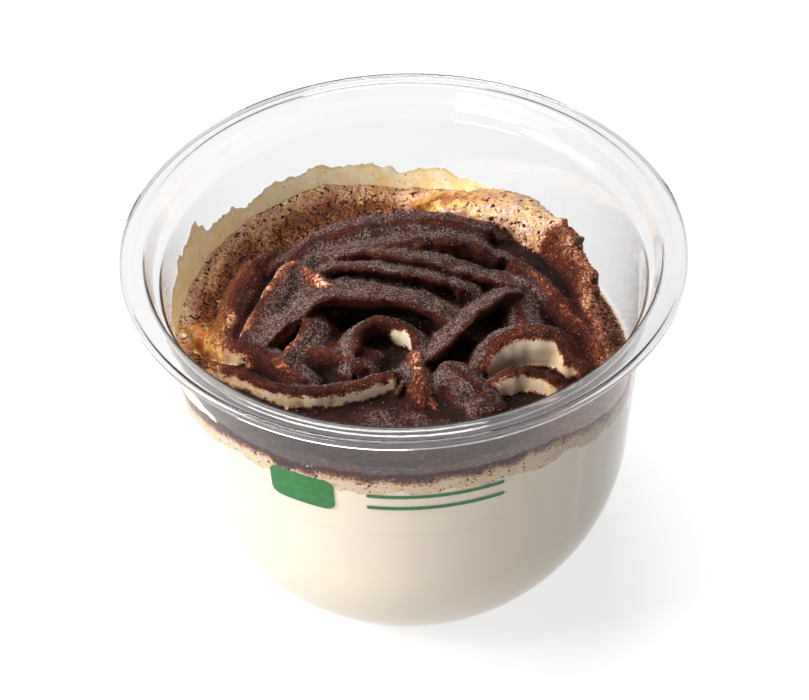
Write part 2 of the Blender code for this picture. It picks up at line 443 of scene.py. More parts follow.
def clear_plastic():
    """Thin clear plastic with soft smudges. Lamps shine through it."""
    looks = Looks("clear_plastic")
    smudge = looks.noise(9.0, 4.0)
    looks.set(
        Base_Color=(0.80, 0.802, 0.81),
        Transmission_Weight=1.0,
        IOR=1.46,
        Roughness=looks.blend(looks.step(smudge, 0.45, 0.75), 0.015, 0.09),
    )
    rays = looks.tree.nodes.new("ShaderNodeLightPath")
    through = looks.math("MAXIMUM", rays.outputs["Is Shadow Ray"], rays.outputs["Is Diffuse Ray"])
    clear = looks.tree.nodes.new("ShaderNodeBsdfTransparent")
    clear.inputs["Color"].default_value = (0.93, 0.935, 0.94, 1.0)
    mixed = looks.tree.nodes.new("ShaderNodeMixShader")
    looks.link(through, mixed.inputs[0])
    looks.link(looks.shader.outputs[0], mixed.inputs[1])
    looks.link(clear.outputs[0], mixed.inputs[2])
    looks.link(mixed.outputs[0], looks.output.inputs["Surface"])
    return looks.material


def fill_cream():
    """Smooth cream pressed against the wall, with faint marbling."""
    looks = Looks("fill_cream")
    cloud = looks.noise(14.0, 3.0)
    looks.set(
        Base_Color=looks.mix(looks.step(cloud, 0.35, 0.7), CREAM, (0.91, 0.78, 0.63)),
        Roughness=looks.blend(cloud, 0.42, 0.6),
        Subsurface_Weight=0.15,
        Subsurface_Radius=(1.0, 0.6, 0.35),
        Subsurface_Scale=2.0 * MM,
    )
    return looks.material


def dusted_cream():
    """Cream under cocoa: stained where it is thin, moist red-brown where thick, dry and grey on top, with
    painted shade that darkens the hollows.
    """
    looks = Looks("dusted_cream")
    cover, dryness, ochre_share, high = looks.channels("coat")
    speck = looks.noise(0.6, 3.0, 0.75)
    patch = looks.noise(2.6, 4.0, 0.6)
    grain = looks.noise(0.5, 3.0, 0.8)
    crumbs = looks.math(
        "MULTIPLY",
        looks.step(looks.noise(1.1, 2.0), 0.60, 0.66),
        looks.step(cover, 0.02, 0.25),
    )
    mixed = looks.math("ADD", looks.math("MULTIPLY", speck, 0.75), looks.math("MULTIPLY", patch, 0.25))
    swing = looks.math("MULTIPLY", looks.math("SUBTRACT", mixed, 0.5), 1.6)
    covered = looks.math("ADD", looks.math("ADD", cover, swing), looks.math("MULTIPLY", crumbs, 0.5))
    ochre = looks.mix(looks.step(patch, 0.42, 0.62), OCHRE, GOLDEN)
    cream = looks.mix(ochre_share, looks.mix(looks.step(patch, 0.4, 0.7), CREAM, CREAM_YELLOW), ochre)
    stained = looks.mix(looks.step(covered, 0.15, 0.5), cream, looks.mix(ochre_share, STAIN, DARK_STAIN))
    # Painted shade and light: the moist cocoa turns lighter only on the raised tops and stays near-black in
    # the hollows.
    light = looks.math("MULTIPLY", looks.step(mixed, 0.42, 0.62), looks.step(high, 0.15, 0.7))
    moist = looks.mix(light, DARK_MOIST_COCOA_AND_SHADE, MOIST_COCOA_LIGHT)
    brown = looks.mix(looks.step(covered, 0.42, 0.72), stained, moist)
    dusty = looks.step(looks.math("ADD", dryness, looks.math("MULTIPLY", swing, 0.6)), 0.25, 0.75)
    dry = looks.mix(
        looks.step(grain, 0.42, 0.64),
        DRY_COCOA_DARK,
        looks.mix(looks.step(patch, 0.35, 0.65), DRY_COCOA, BROWN_DUST),
    )
    thick = looks.step(covered, 0.4, 0.75)
    looks.set(
        Base_Color=looks.mix(looks.math("MULTIPLY", dusty, thick), brown, dry),
        Roughness=looks.blend(thick, 0.36, looks.blend(dusty, 0.6, 0.95)),
        Specular_IOR_Level=looks.blend(thick, 0.5, 0.14),
        Subsurface_Weight=0.1,
        Subsurface_Radius=(1.0, 0.55, 0.3),
        Subsurface_Scale=1.2 * MM,
    )
    relief = looks.math("MULTIPLY", looks.math("ADD", grain, speck), thick)
    looks.bump(relief, 1.0, 0.35)
    return looks.material


def smeared_cream():
    """A thin yellowish film of cream with brown specks, and a faint painted glow for light shining through
    it.
    """
    looks = Looks("smeared_cream")
    cloud = looks.noise(3.5, 4.0)
    speck = looks.noise(0.7, 3.0, 0.7)
    cream = looks.mix(looks.step(cloud, 0.4, 0.6), (0.96, 0.89, 0.68), (0.92, 0.72, 0.36))
    looks.set(
        Base_Color=looks.mix(looks.step(speck, 0.60, 0.68), cream, (0.20, 0.085, 0.03)),
        Roughness=looks.blend(cloud, 0.3, 0.55),
        Subsurface_Weight=0.1,
        Subsurface_Radius=(1.0, 0.6, 0.35),
        Subsurface_Scale=1.0 * MM,
        # Painted light: the film glows faintly, standing in for light that shines through it from behind.
        Emission_Color=(1.0, 0.78, 0.45),
        Emission_Strength=0.2,
    )
    return looks.material


def cocoa_grain():
    """Loose dry cocoa."""
    looks = Looks("cocoa_grain")
    tone = looks.noise(0.6, 2.0)
    looks.set(
        Base_Color=looks.mix(looks.step(tone, 0.4, 0.6), (0.03, 0.016, 0.012), (0.34, 0.25, 0.22)),
        Roughness=looks.blend(tone, 0.85, 1.0),
    )
    return looks.material


def green_ink():
    """Flat green print, a little worn."""
    looks = Looks("green_ink")
    worn = looks.noise(1.5, 4.0)
    looks.set(
        Base_Color=looks.mix(looks.step(worn, 0.4, 0.7), (0.004, 0.12, 0.018), (0.012, 0.17, 0.032)),
        Roughness=looks.blend(worn, 0.3, 0.5),
    )
    return looks.material


def pale_floor():
    """A plain white table."""
    looks = Looks("pale_floor")
    bounced = looks.tree.nodes.new("ShaderNodeLightPath").outputs["Is Diffuse Ray"]
    looks.set(
        Base_Color=(0.27, 0.27, 0.27),
        Roughness=looks.blend(looks.noise(40.0), 0.7, 0.85),
        Emission_Color=(1.0, 1.0, 1.0),
        Emission_Strength=looks.math("SUBTRACT", 0.75, looks.math("MULTIPLY", bounced, 0.68)),
    )
    return looks.material


# ---------------------------------------------------------------- the tub


def arc(centre, radius, start, end, count):
    """Points (radius, depth) on an arc, by the angle of its normal below the horizontal."""
    angles = np.linspace(start, end, count)
    return [(centre[0] + radius * math.cos(a), centre[1] + radius * math.sin(a)) for a in angles]


def wall_radius(depth):
    """The outer radius of the straight wall at a depth."""
    return WALL_TOP_RADIUS - (depth - WALL_TOP_DEPTH) * math.tan(WALL_TAPER)


def heel():
    """The centre and radius of the arc that runs from the belly into the flat foot."""
    (radius_there, depth_there), = arc(BELLY_CENTRE, BELLY_RADIUS, HEEL_ANGLE, HEEL_ANGLE, 1)
    radius = (RIM_TOP - depth_there) / (1.0 - math.sin(HEEL_ANGLE))
    return (radius_there - radius * math.cos(HEEL_ANGLE), RIM_TOP - radius), radius


def body_profile(inset, top_depth):
    """The tub's side and base from top_depth down to the middle, moved in from the outer face by inset."""
    heel_centre, heel_radius = heel()
    start_radius = wall_radius(top_depth) - inset / math.cos(WALL_TAPER)
    points = [(start_radius, top_depth)]
    points += arc(BELLY_CENTRE, BELLY_RADIUS - inset, WALL_TAPER, HEEL_ANGLE, 18)
    points += arc(heel_centre, heel_radius - inset, HEEL_ANGLE, math.radians(90.0), 8)[1:]
    foot = [
        (FOOT_INNER_RADIUS, RIM_TOP - inset),
        (PUSH_UP_RADIUS, RIM_TOP - PUSH_UP - inset),
        (0.0, RIM_TOP - PUSH_UP - inset),
    ]
    return points + rounded(foot, 2)


def rounded(points, rounds):
    """The same line with its inner corners cut round."""
    line = np.array(points, float)
    for _ in range(rounds):
        near = line[:-1] * 0.75 + line[1:] * 0.25
        far = line[:-1] * 0.25 + line[1:] * 0.75
        inner = np.stack([near, far], 1).reshape(-1, 2)
        line = np.vstack([line[:1], inner[1:-1], line[-1:]])
    return [tuple(p) for p in line]


def rim_profile():
    """The middle of the rim's sheet: skirt, edge, flange, bead, collar and step."""
    half = WALL / 2
    edge = RIM_RADIUS - half
    corners = [
        (edge, 1.7),
        (edge, 0.55),
        (edge - 0.3, 0.3),
        (57.6, half),
        (57.0, 0.72),
        (55.8, 0.72),
        (55.1, 0.32),
        (54.4, half),
        (53.8, 0.35),
        (53.3, 0.9),
        (52.1, 5.1),
        (51.7, 5.7),
        (51.0, 6.3),
        (50.5, 7.2),
        (wall_radius(10.0) - half, 10.0),
    ]
    return rounded(corners, 2)


def turned(name, profile, steps, made_of):
    """A mesh turned about the axis from a profile of (radius, depth) points."""
    points = [(r, 0.0, RIM_TOP - depth) for r, depth in profile]
    thing = object_from(name, points, [], made_of)
    mesh = bpy.data.meshes.new(name)
    mesh.from_pydata(
        [tuple(c * MM for c in p) for p in points],
        [(i, i + 1) for i in range(len(points) - 1)],
        [],
    )
    mesh.materials.append(made_of)
    thing.data = mesh
    screw = thing.modifiers.new("Turn", "SCREW")
    screw.steps = steps
    screw.render_steps = steps
    screw.use_merge_vertices = True
    screw.merge_threshold = 0.00001
    screw.use_smooth_shade = True
    return thing


def make_tub():
    tub = turned("clear_tub", rim_profile() + body_profile(WALL / 2, 12.0), TUB_STEPS, clear_plastic())
    shell = tub.modifiers.new("Wall", "SOLIDIFY")
    shell.thickness = WALL * MM
    shell.offset = 0.0
    shell.use_even_offset = True
    baked(tub)
    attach(tub, "root")
    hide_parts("tub")
    return tub


def cream_radius(depth):
    """How far out the cream reaches at a depth, just inside the wall's plastic."""
    return wall_radius(depth) - (WALL - INTO_WALL) / math.cos(WALL_TAPER)


def make_fill(cream):
    profile = [(0.0, FILL_TOP_DEPTH)] + body_profile(WALL - INTO_WALL, FILL_TOP_DEPTH)
    fill = turned("cream_body", profile, TUB_STEPS, cream)
    baked(fill)
    fill.data.set_sharp_from_angle(angle=math.radians(50.0))
    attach(fill, "root")
    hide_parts("cream_fill")
    return fill


# ---------------------------------------------------------------- the folded top


def smooth_path(points):
    """A Catmull-Rom curve through crest points, as an array of (x, y, depth) rows."""
    ends = np.array([points[0], *points, points[-1]], float)
    rows = []
    for a, b, c, d in zip(ends, ends[1:], ends[2:], ends[3:]):
        for t in np.linspace(0.0, 1.0, STEPS, endpoint=False):
            square = 2 * a - 5 * b + 4 * c - d
            cube = 3 * b - a - 3 * c + d
            rows.append(0.5 * (2 * b + (c - a) * t + square * t**2 + cube * t**3))
    rows.append(ends[-1])
    return np.array(rows)


def from_crest(path, x, y):
    """For each place: distance from a crest, positive in front, its depth there, and how far along it is."""
    nearest = np.full(x.shape, np.inf)
    depth = np.zeros(x.shape)
    side = np.ones(x.shape)
    travelled = np.zeros(x.shape)
    start_length = 0.0
    for start, end in zip(path, path[1:]):
        run = end[:2] - start[:2]
        length = math.hypot(*run)
        share = ((x - start[0]) * run[0] + (y - start[1]) * run[1]) / length**2
        share = np.clip(share, 0.0, 1.0)
        off_x = x - start[0] - share * run[0]
        off_y = y - start[1] - share * run[1]
        distance = np.hypot(off_x, off_y)
        closer = distance < nearest
        nearest = np.where(closer, distance, nearest)
        depth = np.where(closer, start[2] + share * (end[2] - start[2]), depth)
        side = np.where(closer, np.where(run[0] * off_y - run[1] * off_x < 0.0, 1.0, -1.0), side)
        travelled = np.where(closer, start_length + share * length, travelled)
        start_length += length
    return nearest * side, depth, travelled


def bed_depth(x, y):
    """The surface under the folds: a low dome, a valley round the back, and a slope up to the wall."""
    radius = np.hypot(x, y)
    angle = np.arctan2(y, x)
    dome = MIDDLE_DEPTH + (SHOULDER_DEPTH - MIDDLE_DEPTH) * eased(0.0, SHOULDER_RADIUS, radius)
    valley = SHOULDER_DEPTH + VALLEY_DROP * along(VALLEY_LINE, angle)
    depth = dome + (valley - dome) * eased(SHOULDER_RADIUS, VALLEY_RADIUS, radius)
    edge = along(WALL_LINE, angle)
    to_wall = eased(VALLEY_RADIUS, cream_radius(edge), radius)
    return depth + (edge - depth) * to_wall


def union(a, b, reach):
    """The smaller of two fields, rounded where they meet."""
    near = np.clip(1.0 - np.abs(a - b) / reach, 0.0, None)
    return np.minimum(a, b) - near * near * reach / 4.0


class Top:
    """The folded top as a field over a grid: negative inside the cream."""

    def __init__(self):
        reach = math.ceil(WALL_TOP_RADIUS / CELL) * CELL
        self.axis = np.arange(-reach, reach + CELL / 2, CELL)
        self.x, self.y = np.meshgrid(self.axis, self.axis, indexing="ij")
        self.depths = np.arange(SWIRL_TOP_DEPTH, SWIRL_FOOT_DEPTH + 2 * CELL, CELL)
        flat = np.stack([self.x.ravel(), self.y.ravel(), np.zeros(self.x.size)], 1)
        wobble = bumps(flat, 7.0, SEED + 1, 2).reshape(self.x.shape)
        sway = bumps(flat, 7.0, SEED + 2, 2).reshape(self.x.shape)
        self.rough = bumps(flat, 2.5, SEED + 3, 3).reshape(self.x.shape)
        self.crests = {}
        for name, fold in FOLDS.items():
            self.crests[name] = from_crest(smooth_path(fold[-1]), self.x + 0.6 * wobble, self.y + 0.6 * sway)
        self.bed = bed_depth(self.x, self.y) - 0.35 * self.rough
        self.free_edge = along(FREE_EDGE, np.arctan2(self.y, self.x))

    def fold_field(self, name, depth):
        """How far above (positive) or in (negative) one fold a level is, over the grid."""
        back, front, lean = FOLDS[name][:3]
        distance, crest, travelled = self.crests[name]
        shifted = distance + lean * np.clip(depth - crest, -2.0, 8.0)
        spread = np.where(shifted > 0.0, front, back)
        streaks = 0.10 * np.sin(distance * 4.2 + 0.8 * np.sin(travelled * 0.35))
        surface = crest + FOLD_DROP * (shifted / spread) ** 2 + streaks - 0.45 * self.rough
        return surface - depth

    def field(self):
        """The whole field as an array by x, y and level."""
        radius = np.hypot(self.x, self.y)
        levels = []
        for depth in self.depths:
            value = self.bed - depth
            for name in FOLDS:
                value = union(value, self.fold_field(name, depth), BLEND)
            free_edge = self.free_edge + 14.0 * float(eased(FREE_EDGE_DEPTH - 4.0, FREE_EDGE_DEPTH, depth))
            value = np.maximum(value, radius - free_edge - 1.1 * self.rough)
            value = np.maximum(value, radius - cream_radius(depth))
            value = np.maximum(value, depth - SWIRL_FOOT_DEPTH)
            levels.append(value)
        return np.stack(levels, -1)


def surface_net(field):
    """A closed mesh at the zero level of a field: points in grid steps, and four-sided faces."""
    cells = np.array(field.shape) - 1
    total = np.zeros((*cells, 3), np.float32)
    count = np.zeros(cells, np.float32)
    crossings = []
    for axis in range(3):
        low = np.take(field, range(field.shape[axis] - 1), axis)
        high = np.take(field, range(1, field.shape[axis]), axis)
        crossed = (low < 0.0) != (high < 0.0)
        place = np.argwhere(crossed)
        share = low[crossed] / (low[crossed] - high[crossed])
        point = place.astype(np.float32)
        point[:, axis] += share
        others = [a for a in range(3) if a != axis]
        corners = []
        valid = np.ones(len(place), bool)
        for back_first, back_second in ((0, 0), (1, 0), (1, 1), (0, 1)):
            cell = place.copy()
            cell[:, others[0]] -= back_first
            cell[:, others[1]] -= back_second
            valid &= np.all((cell >= 0) & (cell < cells), axis=1)
            corners.append(cell)
        corners = [cell[valid] for cell in corners]
        for cell in corners:
            index = tuple(cell.T)
            np.add.at(total, index, point[valid])
            np.add.at(count, index, 1.0)
        starts_inside = low[crossed][valid] < 0.0
        if axis == 1:
            starts_inside = ~starts_inside
        crossings.append((corners, starts_inside))
    used = count > 0
    number = np.full(cells, -1, np.int64)
    number[used] = np.arange(used.sum())
    points = total[used] / count[used][:, None]
    faces = []
    for corners, starts_inside in crossings:
        quad = np.stack([number[tuple(cell.T)] for cell in corners], 1)
        quad[~starts_inside] = quad[~starts_inside][:, ::-1]
        faces.append(quad)
    return points, np.vstack(faces)[:, ::-1]


def vertex_normals(points, faces):
    """Area-weighted normals."""
    across = np.cross(points[faces[:, 2]] - points[faces[:, 0]], points[faces[:, 3]] - points[faces[:, 1]])
    normals = np.zeros_like(points)
    for corner in range(4):
        np.add.at(normals, faces[:, corner], across)
    return normals / np.maximum(np.linalg.norm(normals, axis=1), 1e-9)[:, None]


def blurred(grid, reach):
    """A grid averaged twice over a square of cells that reaches so far each way."""
    for _ in range(2):
        for axis in (0, 1):
            padded = np.pad(grid, [(reach + 1, reach) if n == axis else (0, 0) for n in (0, 1)], mode="edge")
            total = padded.cumsum(axis)
            size = 2 * reach + 1
            upper = np.take(total, np.arange(size, total.shape[axis]), axis)
            lower = np.take(total, np.arange(0, total.shape[axis] - size), axis)
            grid = (upper - lower) / size
    return grid


def height_for_painted_shade(top, column, depth):
    """How far each point stands above what lies around it, from 0 in deep hollows to 1 on the tops. The
    cocoa's painted shade in the hollows comes from it.
    """
    surface = top.bed.copy()
    np.minimum.at(surface, column, depth)
    around = blurred(surface, round(4.5 / CELL))
    return eased(-2.6, 1.6, around[column] - depth)


def softened(values, faces, times):
    """Values at the points of a net, averaged over the neighbouring points a number of times."""
    count = np.zeros(len(values))
    np.add.at(count, faces.ravel(), 1.0)
    for _ in range(times):
        middle = values[faces].mean(1)
        total = np.zeros_like(values)
        for corner in range(4):
            np.add.at(total, faces[:, corner], middle)
        values = total / count[:, None]
    return values


def cocoa_coat(top, points, faces, normals):
    """For each point: the cover of cocoa, its dryness, how golden-ochre the cream is and how high it stands,
    which sets the painted shade in the hollows.

    The second result tells which points lie under the top against the wall.
    """
    depth = RIM_TOP - points[:, 2]
    column = np.rint((points[:, :2] - top.axis[0]) / CELL).astype(int).clip(0, len(top.axis) - 1)
    column = tuple(column.T)
    radius = np.hypot(points[:, 0], points[:, 1])
    angle = np.degrees(np.arctan2(points[:, 1], points[:, 0]))
    patch = bumps(points, 6.0, SEED + 11)
    small = bumps(points, 1.6, SEED + 12)
    level = normals[:, 2]
    nearest = top.bed[column] - depth
    cover = np.ones(len(points))
    crest_line = np.zeros(len(points))
    for name, (back, front, lean, cocoa, bareness, bare_from, bare_to, _) in FOLDS.items():
        distance, crest, travelled = (values[column] for values in top.crests[name])
        shifted = distance + lean * np.clip(depth - crest, -2.0, 8.0)
        surface = crest + FOLD_DROP * np.abs(shifted / np.where(shifted > 0.0, front, back)) ** SHARPNESS
        mine = surface - depth < nearest
        nearest = np.where(mine, surface - depth, nearest)
        length = travelled.max() + 0.01
        bare = bareness * eased(bare_from - 0.05, bare_from + 0.05, travelled / length)
        bare *= eased(bare_to + 0.15, bare_to - 0.1, travelled / length)
        face = (
            bare
            * eased(-0.1, 0.8, shifted / front + 0.15 * small)
            * eased(0.1, 2.0, depth - crest + 0.5 * small)
        )
        cover = np.where(mine, cocoa - face, cover)
        sharp = eased(1.7, 0.5, np.abs(shifted - 0.3) + 0.5 * small) * eased(2.6, 1.2, depth - crest)
        crest_line = np.where(mine, sharp, crest_line)
    away_from_front = 1.0 - eased(-165.0, -140.0, angle) * eased(-45.0, -65.0, angle)
    left_back = np.clip(eased(45.0, 80.0, angle) + eased(-150.0, -175.0, angle), 0.0, 1.0)
    loose_radius = radius + 1.5 * patch
    ring = eased(35.0, 40.0, loose_radius) * away_from_front
    rim_side = eased(44.0, 47.0, loose_radius) * away_from_front
    cover -= (0.34 * ring + 0.16 * ring * left_back + 0.2 * rim_side * left_back) * cover
    # How high each point stands; the material paints shade into the low hollows from it.
    high = height_for_painted_shade(top, column, depth)
    cover -= 0.36 * crest_line * eased(-0.5, 0.6, patch + 0.4 * small) * cover
    dryness = eased(0.3, 0.8, level + 0.15 * patch) * (1.0 - ring) * (1.0 - 0.8 * crest_line)
    # Keeping the pale dry dust off the hollows is partly painted shade.
    dryness *= eased(0.25, 0.7, high) * (1.0 - 0.6 * eased(26.0, 36.0, radius))
    # The cream turns golden ochre in a ring by the wall, most at the back and left.
    ochre_share = ring * (0.6 + 0.4 * left_back) * (1.0 - 0.35 * rim_side * left_back)
    ochre_share += 0.35 * eased(26.0, 36.0, radius) * (1.0 - ring)
    wall_side = eased(-0.9, -0.3, radius - cream_radius(depth))
    below = -nearest + 1.1 * bumps(points, 4.0, SEED + 13)
    cover *= 1.0 - wall_side * (0.15 + 0.7 * eased(0.0, 4.0, below))
    under = eased(5.6, 6.2, below) * wall_side
    coat = np.stack([cover, dryness, ochre_share, high], 1).clip(0.0, 1.0)
    return softened(coat, faces, 2), under


def make_swirl(cream):
    top = Top()
    points, faces = surface_net(top.field())
    points = points * CELL
    points[:, 0] += top.axis[0]
    points[:, 1] += top.axis[0]
    depth = points[:, 2] + SWIRL_TOP_DEPTH
    points[:, 2] = RIM_TOP - depth
    radius = np.hypot(points[:, 0], points[:, 1])
    against_wall = radius > cream_radius(depth) - 0.3 * CELL
    tucked_in = cream_radius(depth) - 0.1 * eased(FILL_TOP_DEPTH - 0.1, FILL_TOP_DEPTH + 0.2, depth)
    scale = np.where(against_wall, tucked_in / radius, 1.0)
    points[:, :2] *= scale[:, None]
    normals = vertex_normals(points, faces)
    coat, under = cocoa_coat(top, points, faces, normals)
    lift = 0.16 * bumps(points, 1.5, SEED + 21, 3) * (1.0 - under) * (0.3 + 0.7 * coat[:, 0])
    points = np.where(against_wall[:, None], points, points + normals * lift[:, None])
    swirl = object_from("folded_cream", points, faces.tolist(), dusted_cream())
    swirl.data.materials.append(cream)
    pressed = under[faces].mean(1) > 0.5
    swirl.data.polygons.foreach_set("material_index", pressed.astype(np.int32))
    layer = swirl.data.color_attributes.new("coat", "FLOAT_COLOR", "POINT")
    layer.data.foreach_set("color", coat.astype(np.float32).ravel())
    loose = coat[:, 0] * (0.15 + 0.85 * coat[:, 1]) * (1.0 - under) * eased(0.0, 0.5, normals[:, 2])
    store_number(swirl, "loose", loose)
    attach(swirl, "root")
    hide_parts("cream_swirl")
    return swirl


def store_number(thing, name, values):
    """A number for each vertex."""
    layer = thing.data.attributes.new(name, "FLOAT", "POINT")
    layer.data.foreach_set("value", values.astype(np.float32))


# ---------------------------------------------------------------- loose cocoa, smears and crumbs


def scatter(name, surface, made_of, density, size, spread, seed):
    """Small grains over a surface, as dense as its number "loose" says, joined into one plain mesh.

    density is the most grains for each square centimetre, and size and spread are a grain's radius and how
    much it varies, in millimetres.
    """
    tree = bpy.data.node_groups.new(name + "_tree", "GeometryNodeTree")
    tree.interface.new_socket("Surface", in_out="INPUT", socket_type="NodeSocketGeometry")
    tree.interface.new_socket("Density", in_out="INPUT", socket_type="NodeSocketFloat")
    tree.interface.new_socket("Smallest", in_out="INPUT", socket_type="NodeSocketFloat")
    tree.interface.new_socket("Largest", in_out="INPUT", socket_type="NodeSocketFloat")
    tree.interface.new_socket("Geometry", in_out="OUTPUT", socket_type="NodeSocketGeometry")
    nodes = tree.nodes
    given = nodes.new("NodeGroupInput")
    made = nodes.new("NodeGroupOutput")
    loose = nodes.new("GeometryNodeInputNamedAttribute")
    loose.data_type = "FLOAT"
    loose.inputs["Name"].default_value = "loose"
    per_area = nodes.new("ShaderNodeMath")
    per_area.operation = "MULTIPLY"
    points = nodes.new("GeometryNodeDistributePointsOnFaces")
    points.inputs["Seed"].default_value = seed
    grain = nodes.new("GeometryNodeMeshIcoSphere")
    grain.inputs["Radius"].default_value = 1.0
    grain.inputs["Subdivisions"].default_value = 1
    sizes = nodes.new("FunctionNodeRandomValue")
    sizes.inputs["Seed"].default_value = seed + 1
    turns = nodes.new("FunctionNodeRandomValue")
    turns.data_type = "FLOAT_VECTOR"
    turns.inputs["Max"].default_value = (math.tau, math.tau, math.tau)
    turns.inputs["Seed"].default_value = seed + 2
    squeeze = nodes.new("ShaderNodeVectorMath")
    squeeze.operation = "MULTIPLY"
    squeeze.inputs[1].default_value = (1.0, 0.8, 0.6)
    placed = nodes.new("GeometryNodeInstanceOnPoints")
    real = nodes.new("GeometryNodeRealizeInstances")
    finish = nodes.new("GeometryNodeSetMaterial")
    finish.inputs["Material"].default_value = made_of
    link = tree.links.new
    link(given.outputs["Surface"], points.inputs["Mesh"])
    link(given.outputs["Density"], per_area.inputs[0])
    link(loose.outputs["Attribute"], per_area.inputs[1])
    link(per_area.outputs[0], points.inputs["Density"])
    link(given.outputs["Smallest"], sizes.inputs[2])
    link(given.outputs["Largest"], sizes.inputs[3])
    link(sizes.outputs[1], squeeze.inputs[0])
    link(points.outputs["Points"], placed.inputs["Points"])
    link(grain.outputs["Mesh"], placed.inputs["Instance"])
    link(turns.outputs[0], placed.inputs["Rotation"])
    link(squeeze.outputs[0], placed.inputs["Scale"])
    link(placed.outputs["Instances"], real.inputs["Geometry"])
    link(real.outputs["Geometry"], finish.inputs["Geometry"])
    link(finish.outputs["Geometry"], made.inputs["Geometry"])
    thing = bpy.data.objects.new(name, surface.data.copy())
    bpy.context.scene.collection.objects.link(thing)
    modifier = thing.modifiers.new("Scatter", "NODES")
    modifier.node_group = tree
    values = {"Density": density * 1e4, "Smallest": (size - spread) * MM, "Largest": (size + spread) * MM}
    for socket in tree.interface.items_tree:
        if socket.name in values:
            modifier[socket.identifier] = values[socket.name]
    baked(thing)
    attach(thing, "root")
    return thing


def inner_radius(depth):
    """The radius of the wall's inner face at a depth."""
    return wall_radius(depth) - WALL / math.cos(WALL_TAPER)


def make_smear():
    """The thin film of cream that climbs the wall above the cream, thick at its foot and ragged on top."""
    across, down, through = 0.0055, 0.3, 0.08
    angles = np.arange(-math.pi, math.pi, across)
    depths = np.arange(10.0, 37.0, down)
    offsets = np.arange(-0.72, 0.17, through)
    angle, depth = np.meshgrid(angles, depths, indexing="ij")
    flat = np.stack([np.cos(angle) * 50.0, np.sin(angle) * 50.0, -depth * 0.55], -1).reshape(-1, 3)
    lobes = bumps(flat, 9.0, SEED + 31, 2).reshape(angle.shape)
    rough = bumps(flat, 2.2, SEED + 32, 3).reshape(angle.shape)
    above = along(WALL_LINE, angle) - depth
    climb = along(SMEAR_LINE, angle)
    thick = 0.34 * (1.0 - above / climb) + 0.12 * lobes + 0.08 * rough
    degrees = np.degrees(angle)
    thick -= 0.6 * eased(-150.0, -135.0, degrees) * eased(52.0, 46.0, degrees)
    thick = np.where(above < -1.0, 0.05 - 0.3 * (-above - 1.0), thick)
    thick = np.minimum(thick, 0.5)
    field = np.maximum(-thick[:, :, None] - offsets, offsets - 0.1)
    field[:, :, 0] = 1.0
    field[:, :, -1] = 1.0
    field[0] = 1.0
    field[-1] = 1.0
    points, faces = surface_net(field)
    turn = angles[0] + points[:, 0] * across
    level = depths[0] + points[:, 1] * down
    out = inner_radius(level) + offsets[0] + points[:, 2] * through
    places = np.stack([out * np.cos(turn), out * np.sin(turn), RIM_TOP - level], 1)
    smear = object_from("wall_smear", places, faces.tolist(), smeared_cream())
    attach(smear, "root")
    return smear


# ---------------------------------------------------------------- print and flake


def rounded_rows(middle, depth, width, height, corner):
    """Rows (depth, left, right) of a rounded rectangle on the wall, with angles from the front in degrees."""
    straight = height / 2 - corner
    rows = []
    for share in np.sin(np.linspace(-math.pi / 2, math.pi / 2, INK_ROWS)):
        past = max(0.0, abs(share) * height / 2 - straight)
        inset = corner - math.sqrt(max(0.0, corner**2 - past**2))
        half = math.degrees((width / 2 - inset) / wall_radius(depth))
        rows.append((depth + share * height / 2, middle - half, middle + half))
    return rows


def print_field(bm, rows):
    """A thin closed layer of ink just outside the wall."""
    layers = []
    for lift in (INK_BACK, INK_FRONT):
        grid = []
        for depth, left, right in rows:
            out = wall_radius(depth) + lift
            turns = np.radians(np.linspace(left, right, INK_COLUMNS))
            places = [(out * math.sin(turn), -out * math.cos(turn), RIM_TOP - depth) for turn in turns]
            grid.append([bm.verts.new(Vector(place) * MM) for place in places])
        layers.append(grid)
    for grid in layers:
        for upper, lower in zip(grid, grid[1:]):
            for i in range(INK_COLUMNS - 1):
                bm.faces.new((upper[i], lower[i], lower[i + 1], upper[i + 1]))
    rims = []
    for grid in layers:
        right_side = [row[-1] for row in grid[1:]]
        left_side = [row[0] for row in grid[-2:0:-1]]
        rims.append(grid[0] + right_side + grid[-1][-2::-1] + left_side)
    back, front = rims
    for i in range(len(back)):
        j = (i + 1) % len(back)
        bm.faces.new((back[i], back[j], front[j], front[i]))


def make_print():
    """A plain green field with round corners, and two equal plain lines beside it."""
    ink = green_ink()
    line_rows = [
        rounded_rows(LINE_MIDDLE, depth, LINE_WIDTH, LINE_HEIGHT, LINE_HEIGHT / 2) for depth in LINE_DEPTHS
    ]
    field_rows = [rounded_rows(FIELD_MIDDLE, FIELD_DEPTH, FIELD_WIDTH, FIELD_HEIGHT, FIELD_CORNER)]
    for name, shapes in (("print_field", field_rows), ("print_lines", line_rows)):
        bm = bmesh.new()
        for rows in shapes:
            print_field(bm, rows)
        bmesh.ops.recalc_face_normals(bm, faces=bm.faces)
        mesh = bpy.data.meshes.new(name)
        bm.to_mesh(mesh)
        bm.free()
        mesh.materials.append(ink)
        thing = bpy.data.objects.new(name, mesh)
        bpy.context.scene.collection.objects.link(thing)
        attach(thing, "root")


